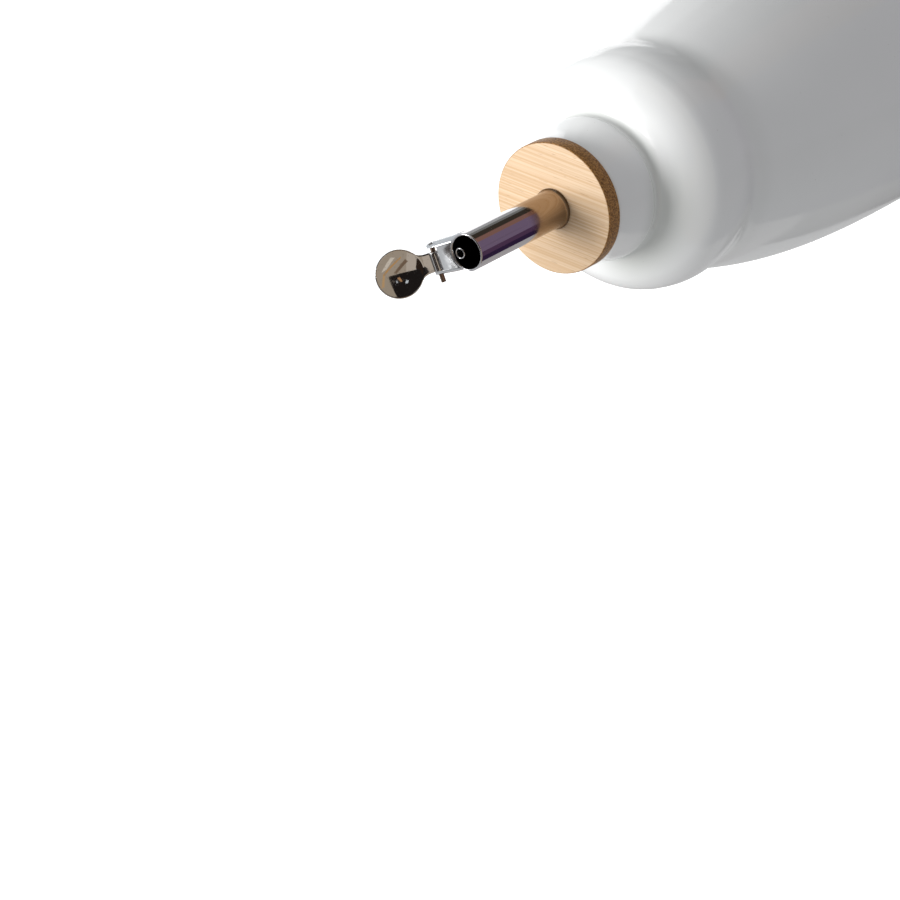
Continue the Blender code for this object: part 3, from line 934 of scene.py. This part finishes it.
ring = [
    ("card_plum", (0.20, 0.14, 0.22), -27, 31, 0.06, 2.5),
    ("card_umber", (0.27, 0.14, 0.11), 31, 55, 0.06, 2.5),
    ("card_black", (0.05, 0.04, 0.03), 55, 84, 0.06, 2.5),
    ("card_slate", (0.22, 0.22, 0.21), 84, 100, 0.06, 2.5),
    ("card_grey", (0.50, 0.51, 0.51), 100, 124, 0.06, 2.5),
    ("card_far_grey", (0.66, 0.69, 0.72), 124, 172, 0.22, 0.60),
    ("card_deep_plum", (0.09, 0.045, 0.095), -52, -27, 0.06, 2.5),
    ("card_ink", (0.035, 0.018, 0.055), -82, -52, 0.06, 2.5),
    ("card_shade", (0.16, 0.15, 0.15), -108, -80, 0.036, 0.16),
    ("card_mist", (0.56, 0.56, 0.56), -175, -104, 0.036, 0.16),
    ("card_smoke", (0.48, 0.46, 0.46), -170, -79, 0.145, 2.5),
]
for i, (name, colour, start_deg, end_deg, near, far) in enumerate(ring):
    ring_card(name, colour, start_deg, end_deg, near, far, 0.004 - 0.0003 * i)


def sky_card(name, colour, corners, away=SKY_AWAY):
    """A card overhead, as seen from the mouth. Its corners are (degrees round, degrees up)."""
    made = []
    for round_deg, up_deg in corners:
        angle = math.radians(round_deg)
        up = math.radians(up_deg)
        flat = away * math.cos(up)
        made.append((flat * math.sin(angle), -flat * math.cos(angle), MOUTH + away * math.sin(up)))
    card(name, colour, made)


def sky_band(name, colour, start_deg, end_deg, low, high, away=SKY_AWAY):
    """A row of cards overhead between two directions and two heights."""
    columns = max(1, round((end_deg - start_deg) / CARD_DEG))
    for i in range(columns):
        a = start_deg + (end_deg - start_deg) * i / columns
        b = start_deg + (end_deg - start_deg) * (i + 1) / columns
        sky_card(f"{name}_{i}", colour, [(a, low), (a, high), (b, high), (b, low)], away)


sky_band("card_beige", (0.46, 0.385, 0.305), -80, -9, -8, 44)
sky_band("card_beige_high", (0.60, 0.52, 0.44), -80, -9, 44, 57)
sky_band("card_beige_low", (0.44, 0.37, 0.29), -9, 75, -8, 18)
sky_band("card_dark", (0.016, 0.013, 0.012), -9, 75, 18, 62)
sky_band("card_over", (0.030, 0.018, 0.012), -80, 75, 57, 88, 0.62)
sky_band("card_beyond", (0.030, 0.018, 0.012), 100, 260, 57, 88, 0.62)
sky_band("card_side", (0.72, 0.75, 0.78), 112, 188, -18.5, 40)
streaks = [
    ("card_amber", (0.60, 0.33, 0.12), [(-38, 38), (-35, 38), (-11, 12), (-14, 12)]),
    ("card_tan", (0.62, 0.40, 0.20), [(-14, 12), (-11, 14), (2, 9), (2, 5)]),
    ("card_pale", (0.78, 0.70, 0.60), [(-36, 30), (-36, 24), (-17, 10), (-20, 18)]),
    ("card_brown", (0.22, 0.15, 0.10), [(-30, 48), (-34, 44), (-12, 27), (-10, 31)]),
    ("card_glint", (0.75, 0.80, 0.85), [(1, 27), (1, 29), (4, 29), (4, 27)]),
    ("card_spark", (0.50, 0.28, 0.14), [(-3, 30), (-3, 34), (5, 36), (5, 33)]),
    ("card_gleam", (0.75, 0.80, 0.85), [(6, 41), (8, 44), (12, 41), (10, 38)]),
]
for name, colour, corners in streaks:
    sky_card(name, colour, corners, 0.40)

# %% [markdown]
# ## Light
#
# The light is soft. One large lamp hangs above, on the +X and +Y side, as a window over the table would.
# A dim surround fills the shadows. It is brighter above on the +X side, and below on the -X side, as if a
# pale table threw light back.

# %% Lights
def soft_light(name, power, size, place, aim):
    lamp = bpy.data.lights.new(name, "AREA")
    lamp.shape = "DISK"
    lamp.size = size
    lamp.energy = power
    made = bpy.data.objects.new(name, lamp)
    bpy.context.scene.collection.objects.link(made)
    made.location = place
    made.rotation_euler = (Vector(aim) - Vector(place)).to_track_quat("-Z", "Y").to_euler()


soft_light("window", 24.5, 0.8, (0.38, 0.52, 1.52), (0, 0, 0.12))

surround = bpy.data.worlds.new("soft_surround")
surround.use_nodes = True
tree = surround.node_tree
heading = add(tree, "ShaderNodeTexCoord").outputs["Generated"]
bright_way = Vector((0.78, 0.30, 0.55)).normalized()
table_way = Vector((-0.75, 0.10, -0.60)).normalized()
to_window = add(tree, "ShaderNodeVectorMath", {0: heading, 1: bright_way}, operation="DOT_PRODUCT")
glow = ramp(tree, to_window.outputs["Value"], -0.5, 0.95, 0.14, 0.76)
to_table = add(tree, "ShaderNodeVectorMath", {0: heading, 1: table_way}, operation="DOT_PRODUCT")
glow = maths(tree, "ADD", glow, ramp(tree, to_table.outputs["Value"], -0.1, 0.9, 0.0, 0.75))
tree.links.new(glow, tree.nodes["Background"].inputs["Strength"])
tree.nodes["Background"].inputs["Color"].default_value = (0.97, 0.98, 1.0, 1)
bpy.context.scene.world = surround
bpy.context.scene.view_settings.view_transform = "Standard"

# %% [markdown]
# ## Camera
#
# The camera stands where the photographer's stood, seen from the upright bottle: above and in front of it,
# turned so far on its side that the bottle seems to lie down. A long lens keeps the perspective flat.

# %% Camera
camera_data = bpy.data.cameras.new("photo_camera")
camera_data.sensor_width = 36.0
camera_data.lens = 160.0
camera = bpy.data.objects.new("photo_camera", camera_data)
bpy.context.scene.collection.objects.link(camera)
bpy.context.scene.camera = camera
ahead = Vector((-0.1645, 0.6696, -0.7243)).normalized()
up = Vector((0.9310, -0.1371, -0.3381))
right = ahead.cross(up).normalized()
up = right.cross(ahead)
pose = Matrix((right, up, -ahead)).transposed().to_4x4()
pose.translation = Vector((0.11201, -0.61674, 0.89970))
camera.matrix_world = pose
print("camera at", [round(part, 3) for part in pose.translation])
